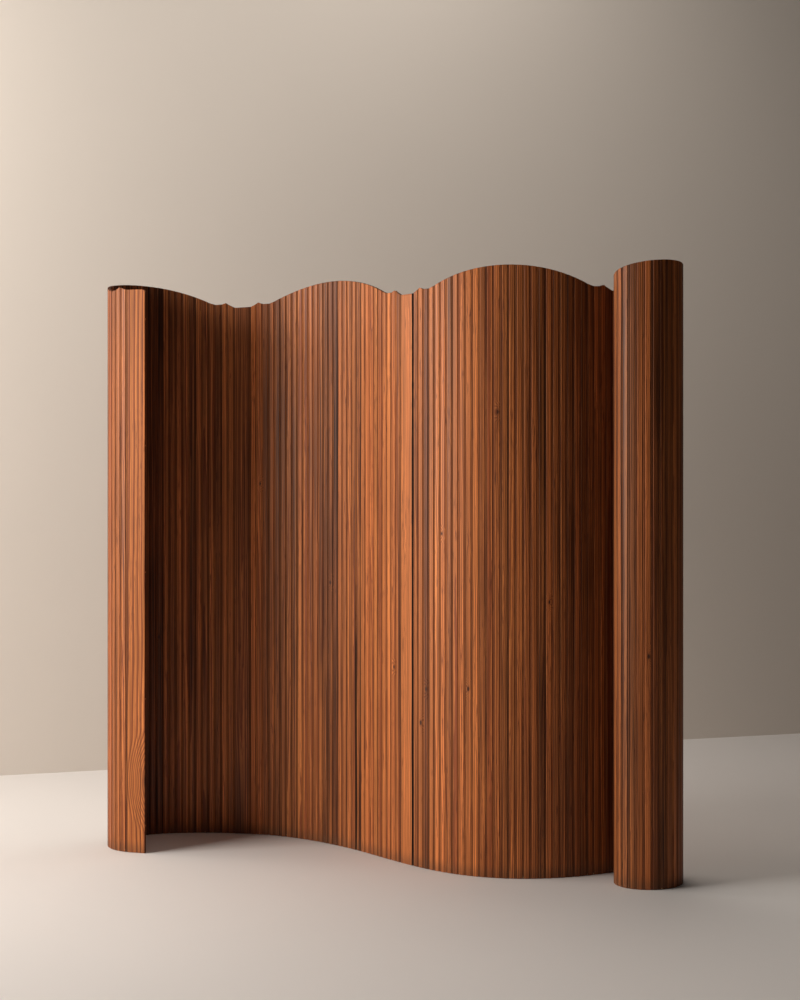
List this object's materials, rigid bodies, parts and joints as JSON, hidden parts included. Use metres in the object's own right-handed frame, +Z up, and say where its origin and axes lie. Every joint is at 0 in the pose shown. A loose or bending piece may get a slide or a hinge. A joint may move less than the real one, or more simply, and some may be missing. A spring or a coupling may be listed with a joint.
{
  "type": "tambour room divider",
  "caption": "Free-standing tambour screen of upright pine slats hinged nose-in-cove on steel wires, with a scalloped top; it bends, curls and rolls up.",
  "frame": {"origin": "on the floor, under the centre of the box around the divider as it stands in the picture", "axes": "+Z up, +X to the right along the divider's run, +Y away from the viewer"},
  "size_m": [1.9556, 0.8386, 2],
  "materials": {
    "pine": "satin varnish",
    "plug_pine": "satin varnish",
    "wire_steel": "bright drawn"
  },
  "bodies": {
    "end_slat_left": {"end_slat_left": "pine", "wire_ferrules_left": "wire_steel", "edge_plugs_left": "plug_pine"},
    "slats_001_002": {"slats_001_002": "pine"},
    "slats_003_004": {"slats_003_004": "pine"},
    "slats_005_006": {"slats_005_006": "pine"},
    "slats_007_008": {"slats_007_008": "pine"},
    "slats_009_010": {"slats_009_010": "pine"},
    "slats_011_012": {"slats_011_012": "pine"},
    "slats_013_014": {"slats_013_014": "pine"},
    "slats_015_016": {"slats_015_016": "pine"},
    "slats_017_019": {"slats_017_019": "pine"},
    "slats_020_022": {"slats_020_022": "pine"},
    "slats_023_025": {"slats_023_025": "pine"},
    "slats_026_028": {"slats_026_028": "pine"},
    "wide_slat_left": {"wide_slat_left": "pine"},
    "slats_029_031": {"slats_029_031": "pine"},
    "slats_032_034": {"slats_032_034": "pine"},
    "slats_035_037": {"slats_035_037": "pine"},
    "slats_038_039": {"slats_038_039": "pine"},
    "slats_040_041": {"slats_040_041": "pine"},
    "slats_042_043": {"slats_042_043": "pine"},
    "slats_044_045": {"slats_044_045": "pine"},
    "slats_046_047": {"slats_046_047": "pine"},
    "slats_048_049": {"slats_048_049": "pine"},
    "slats_050_052": {"slats_050_052": "pine"},
    "slats_053_055": {"slats_053_055": "pine"},
    "slats_056_058": {"slats_056_058": "pine"},
    "wide_slat_middle": {"wide_slat_middle": "pine", "tension_wires": "wire_steel"},
    "slats_059_061": {"slats_059_061": "pine"},
    "slats_062_064": {"slats_062_064": "pine"},
    "slats_065_067": {"slats_065_067": "pine"},
    "slats_068_069": {"slats_068_069": "pine"},
    "slats_070_071": {"slats_070_071": "pine"},
    "slats_072_073": {"slats_072_073": "pine"},
    "slats_074_075": {"slats_074_075": "pine"},
    "slats_076_077": {"slats_076_077": "pine"},
    "slats_078_079": {"slats_078_079": "pine"},
    "slats_080_082": {"slats_080_082": "pine"},
    "slats_083_085": {"slats_083_085": "pine"},
    "slats_086_088": {"slats_086_088": "pine"},
    "wide_slat_right": {"wide_slat_right": "pine"},
    "slats_089_090": {"slats_089_090": "pine"},
    "slats_091_092": {"slats_091_092": "pine"},
    "slats_093_094": {"slats_093_094": "pine"},
    "slats_095_096": {"slats_095_096": "pine"},
    "slats_097_098": {"slats_097_098": "pine"},
    "slats_099_100": {"slats_099_100": "pine"},
    "slats_101_102": {"slats_101_102": "pine"},
    "slats_103_104": {"slats_103_104": "pine"},
    "slats_105_106": {"slats_105_106": "pine"},
    "slats_107_108": {"slats_107_108": "pine"},
    "slats_109_110": {"slats_109_110": "pine"},
    "slats_111_112": {"slats_111_112": "pine"},
    "slats_113_114": {"slats_113_114": "pine"},
    "slats_115_116": {"slats_115_116": "pine"},
    "end_slat_right": {"end_slat_right": "pine", "wire_ferrules_right": "wire_steel", "edge_plugs_right": "plug_pine"}
  },
  "joints": [
    {"name": "hinge_end_slat_left_to_slats_001_002", "type": "hinge", "parent": "slats_001_002", "child": "end_slat_left", "pos_m": [-0.89045, 0.10703, 1], "axis": [0, 0, 1], "range_deg": [-40.5, 19.5]},
    {"name": "hinge_slats_001_002_to_slats_003_004", "type": "hinge", "parent": "slats_003_004", "child": "slats_001_002", "pos_m": [-0.93085, 0.13257, 1], "axis": [0, 0, -1], "range_deg": [-19.5, 40.5]},
    {"name": "hinge_slats_003_004_to_slats_005_006", "type": "hinge", "parent": "slats_005_006", "child": "slats_003_004", "pos_m": [-0.95942, 0.1709, 1], "axis": [0, 0, -1], "range_deg": [-19.5, 40.5]},
    {"name": "hinge_slats_005_006_to_slats_007_008", "type": "hinge", "parent": "slats_007_008", "child": "slats_005_006", "pos_m": [-0.97235, 0.21691, 1], "axis": [0, 0, 1], "range_deg": [-40.5, 19.5]},
    {"name": "hinge_slats_007_008_to_slats_009_010", "type": "hinge", "parent": "slats_009_010", "child": "slats_007_008", "pos_m": [-0.96794, 0.26451, 1], "axis": [0, 0, 1], "range_deg": [-40.5, 19.5]},
    {"name": "hinge_slats_009_010_to_slats_011_012", "type": "hinge", "parent": "slats_011_012", "child": "slats_009_010", "pos_m": [-0.94676, 0.30736, 1], "axis": [0, 0, -1], "range_deg": [-23.25, 36.75]},
    {"name": "hinge_slats_011_012_to_slats_013_014", "type": "hinge", "parent": "slats_013_014", "child": "slats_011_012", "pos_m": [-0.9149, 0.34315, 1], "axis": [0, 0, -1], "range_deg": [-23.25, 36.75]},
    {"name": "hinge_slats_013_014_to_slats_015_016", "type": "hinge", "parent": "slats_015_016", "child": "slats_013_014", "pos_m": [-0.87557, 0.37051, 1], "axis": [0, 0, 1], "range_deg": [-36.75, 23.25]},
    {"name": "hinge_slats_015_016_to_slats_017_019", "type": "hinge", "parent": "slats_017_019", "child": "slats_015_016", "pos_m": [-0.83139, 0.38922, 1], "axis": [0, 0, 1], "range_deg": [-33.5, 26.5]},
    {"name": "hinge_slats_017_019_to_slats_020_022", "type": "hinge", "parent": "slats_020_022", "child": "slats_017_019", "pos_m": [-0.76167, 0.40686, 1], "axis": [0, 0, -1], "range_deg": [-26.5, 33.5]},
    {"name": "hinge_slats_020_022_to_slats_023_025", "type": "hinge", "parent": "slats_023_025", "child": "slats_020_022", "pos_m": [-0.69, 0.41338, 1], "axis": [0, 0, -1], "range_deg": [-28, 32]},
    {"name": "hinge_slats_023_025_to_slats_026_028", "type": "hinge", "parent": "slats_026_028", "child": "slats_023_025", "pos_m": [-0.61803, 0.41238, 1], "axis": [0, 0, 1], "range_deg": [-32, 28]},
    {"name": "hinge_slats_026_028_to_wide_slat_left", "type": "hinge", "parent": "wide_slat_left", "child": "slats_026_028", "pos_m": [-0.54657, 0.40386, 1], "axis": [0, 0, 1], "range_deg": [-32, 28]},
    {"name": "hinge_wide_slat_left_to_slats_029_031", "type": "hinge", "parent": "slats_029_031", "child": "wide_slat_left", "pos_m": [-0.48567, 0.39224, 1], "axis": [0, 0, -1], "range_deg": [-28, 32]},
    {"name": "hinge_slats_029_031_to_slats_032_034", "type": "hinge", "parent": "slats_032_034", "child": "slats_029_031", "pos_m": [-0.41626, 0.37325, 1], "axis": [0, 0, -1], "range_deg": [-27.5, 32.5]},
    {"name": "hinge_slats_032_034_to_slats_035_037", "type": "hinge", "parent": "slats_035_037", "child": "slats_032_034", "pos_m": [-0.34993, 0.34537, 1], "axis": [0, 0, 1], "range_deg": [-32.5, 27.5]},
    {"name": "hinge_slats_035_037_to_slats_038_039", "type": "hinge", "parent": "slats_038_039", "child": "slats_035_037", "pos_m": [-0.28748, 0.3096, 1], "axis": [0, 0, 1], "range_deg": [-32, 28]},
    {"name": "hinge_slats_038_039_to_slats_040_041", "type": "hinge", "parent": "slats_040_041", "child": "slats_038_039", "pos_m": [-0.24807, 0.28221, 1], "axis": [0, 0, -1], "range_deg": [-28, 32]},
    {"name": "hinge_slats_040_041_to_slats_042_043", "type": "hinge", "parent": "slats_042_043", "child": "slats_040_041", "pos_m": [-0.21066, 0.25214, 1], "axis": [0, 0, -1], "range_deg": [-29, 31]},
    {"name": "hinge_slats_042_043_to_slats_044_045", "type": "hinge", "parent": "slats_044_045", "child": "slats_042_043", "pos_m": [-0.17461, 0.22046, 1], "axis": [0, 0, 1], "range_deg": [-31, 29]},
    {"name": "hinge_slats_044_045_to_slats_046_047", "type": "hinge", "parent": "slats_046_047", "child": "slats_044_045", "pos_m": [-0.13967, 0.18754, 1], "axis": [0, 0, 1], "range_deg": [-31, 29]},
    {"name": "hinge_slats_046_047_to_slats_048_049", "type": "hinge", "parent": "slats_048_049", "child": "slats_046_047", "pos_m": [-0.10591, 0.15343, 1], "axis": [0, 0, -1], "range_deg": [-29, 31]},
    {"name": "hinge_slats_048_049_to_slats_050_052", "type": "hinge", "parent": "slats_050_052", "child": "slats_048_049", "pos_m": [-0.07336, 0.11815, 1], "axis": [0, 0, -1], "range_deg": [-29, 31]},
    {"name": "hinge_slats_050_052_to_slats_053_055", "type": "hinge", "parent": "slats_053_055", "child": "slats_050_052", "pos_m": [-0.02689, 0.06316, 1], "axis": [0, 0, 1], "range_deg": [-31, 29]},
    {"name": "hinge_slats_053_055_to_slats_056_058", "type": "hinge", "parent": "slats_056_058", "child": "slats_053_055", "pos_m": [0.01832, 0.00713, 1], "axis": [0, 0, 1], "range_deg": [-29.3, 30.7]},
    {"name": "hinge_slats_056_058_to_wide_slat_middle", "type": "hinge", "parent": "wide_slat_middle", "child": "slats_056_058", "pos_m": [0.06555, -0.0472, 1], "axis": [0, 0, -1], "range_deg": [-30.7, 29.3], "deforming": ["tension_wires"]},
    {"name": "hinge_wide_slat_middle_to_slats_059_061", "type": "hinge", "parent": "wide_slat_middle", "child": "slats_059_061", "pos_m": [0.10736, -0.09299, 1], "axis": [0, 0, -1], "range_deg": [-29.3, 30.7]},
    {"name": "hinge_slats_059_061_to_slats_062_064", "type": "hinge", "parent": "slats_059_061", "child": "slats_062_064", "pos_m": [0.15842, -0.1437, 1], "axis": [0, 0, 1], "range_deg": [-32.1, 27.9]},
    {"name": "hinge_slats_062_064_to_slats_065_067", "type": "hinge", "parent": "slats_062_064", "child": "slats_065_067", "pos_m": [0.21475, -0.1885, 1], "axis": [0, 0, 1], "range_deg": [-32.1, 27.9]},
    {"name": "hinge_slats_065_067_to_slats_068_069", "type": "hinge", "parent": "slats_065_067", "child": "slats_068_069", "pos_m": [0.27633, -0.22565, 1], "axis": [0, 0, -1], "range_deg": [-26.8, 33.2]},
    {"name": "hinge_slats_068_069_to_slats_070_071", "type": "hinge", "parent": "slats_068_069", "child": "slats_070_071", "pos_m": [0.32047, -0.24448, 1], "axis": [0, 0, -1], "range_deg": [-26.8, 33.2]},
    {"name": "hinge_slats_070_071_to_slats_072_073", "type": "hinge", "parent": "slats_070_071", "child": "slats_072_073", "pos_m": [0.36643, -0.25827, 1], "axis": [0, 0, 1], "range_deg": [-33.2, 26.8]},
    {"name": "hinge_slats_072_073_to_slats_074_075", "type": "hinge", "parent": "slats_072_073", "child": "slats_074_075", "pos_m": [0.41363, -0.26684, 1], "axis": [0, 0, 1], "range_deg": [-33.2, 26.8]},
    {"name": "hinge_slats_074_075_to_slats_076_077", "type": "hinge", "parent": "slats_074_075", "child": "slats_076_077", "pos_m": [0.4615, -0.27011, 1], "axis": [0, 0, -1], "range_deg": [-26.8, 33.2]},
    {"name": "hinge_slats_076_077_to_slats_078_079", "type": "hinge", "parent": "slats_076_077", "child": "slats_078_079", "pos_m": [0.50944, -0.26802, 1], "axis": [0, 0, -1], "range_deg": [-27.5, 32.5]},
    {"name": "hinge_slats_078_079_to_slats_080_082", "type": "hinge", "parent": "slats_078_079", "child": "slats_080_082", "pos_m": [0.55698, -0.26146, 1], "axis": [0, 0, 1], "range_deg": [-32.5, 27.5]},
    {"name": "hinge_slats_080_082_to_slats_083_085", "type": "hinge", "parent": "slats_080_082", "child": "slats_083_085", "pos_m": [0.62677, -0.24393, 1], "axis": [0, 0, 1], "range_deg": [-32.5, 27.5]},
    {"name": "hinge_slats_083_085_to_slats_086_088", "type": "hinge", "parent": "slats_083_085", "child": "slats_086_088", "pos_m": [0.69391, -0.21802, 1], "axis": [0, 0, -1], "range_deg": [-28, 32]},
    {"name": "hinge_slats_086_088_to_wide_slat_right", "type": "hinge", "parent": "slats_086_088", "child": "wide_slat_right", "pos_m": [0.75798, -0.18524, 1], "axis": [0, 0, -1], "range_deg": [-28, 32]},
    {"name": "hinge_wide_slat_right_to_slats_089_090", "type": "hinge", "parent": "wide_slat_right", "child": "slats_089_090", "pos_m": [0.81107, -0.15321, 1], "axis": [0, 0, 1], "range_deg": [-14, 46]},
    {"name": "hinge_slats_089_090_to_slats_091_092", "type": "hinge", "parent": "slats_089_090", "child": "slats_091_092", "pos_m": [0.85824, -0.14734, 1], "axis": [0, 0, 1], "range_deg": [-14, 46]},
    {"name": "hinge_slats_091_092_to_slats_093_094", "type": "hinge", "parent": "slats_091_092", "child": "slats_093_094", "pos_m": [0.9027, -0.16498, 1], "axis": [0, 0, -1], "range_deg": [-39.5, 20.5]},
    {"name": "hinge_slats_093_094_to_slats_095_096", "type": "hinge", "parent": "slats_093_094", "child": "slats_095_096", "pos_m": [0.93899, -0.19615, 1], "axis": [0, 0, -1], "range_deg": [-39.5, 20.5]},
    {"name": "hinge_slats_095_096_to_slats_097_098", "type": "hinge", "parent": "slats_095_096", "child": "slats_097_098", "pos_m": [0.96316, -0.23742, 1], "axis": [0, 0, 1], "range_deg": [-20.5, 39.5]},
    {"name": "hinge_slats_097_098_to_slats_099_100", "type": "hinge", "parent": "slats_097_098", "child": "slats_099_100", "pos_m": [0.97257, -0.28432, 1], "axis": [0, 0, 1], "range_deg": [-20.5, 39.5]},
    {"name": "hinge_slats_099_100_to_slats_101_102", "type": "hinge", "parent": "slats_099_100", "child": "slats_101_102", "pos_m": [0.96621, -0.33173, 1], "axis": [0, 0, -1], "range_deg": [-41.5, 18.5]},
    {"name": "hinge_slats_101_102_to_slats_103_104", "type": "hinge", "parent": "slats_101_102", "child": "slats_103_104", "pos_m": [0.94258, -0.37324, 1], "axis": [0, 0, -1], "range_deg": [-41.5, 18.5]},
    {"name": "hinge_slats_103_104_to_slats_105_106", "type": "hinge", "parent": "slats_103_104", "child": "slats_105_106", "pos_m": [0.90461, -0.40221, 1], "axis": [0, 0, 1], "range_deg": [-18.5, 41.5]},
    {"name": "hinge_slats_105_106_to_slats_107_108", "type": "hinge", "parent": "slats_105_106", "child": "slats_107_108", "pos_m": [0.85835, -0.41405, 1], "axis": [0, 0, 1], "range_deg": [-18.5, 41.5]},
    {"name": "hinge_slats_107_108_to_slats_109_110", "type": "hinge", "parent": "slats_107_108", "child": "slats_109_110", "pos_m": [0.81113, -0.40687, 1], "axis": [0, 0, -1], "range_deg": [-41.5, 18.5]},
    {"name": "hinge_slats_109_110_to_slats_111_112", "type": "hinge", "parent": "slats_109_110", "child": "slats_111_112", "pos_m": [0.77196, -0.38005, 1], "axis": [0, 0, -1], "range_deg": [-47, 13]},
    {"name": "hinge_slats_111_112_to_slats_113_114", "type": "hinge", "parent": "slats_111_112", "child": "slats_113_114", "pos_m": [0.75448, -0.33591, 1], "axis": [0, 0, 1], "range_deg": [-13, 47]},
    {"name": "hinge_slats_113_114_to_slats_115_116", "type": "hinge", "parent": "slats_113_114", "child": "slats_115_116", "pos_m": [0.76622, -0.29019, 1], "axis": [0, 0, 1], "range_deg": [-9, 51]},
    {"name": "hinge_slats_115_116_to_end_slat_right", "type": "hinge", "parent": "slats_115_116", "child": "end_slat_right", "pos_m": [0.80553, -0.26408, 1], "axis": [0, 0, -1], "range_deg": [-51, 9]}
  ]
}
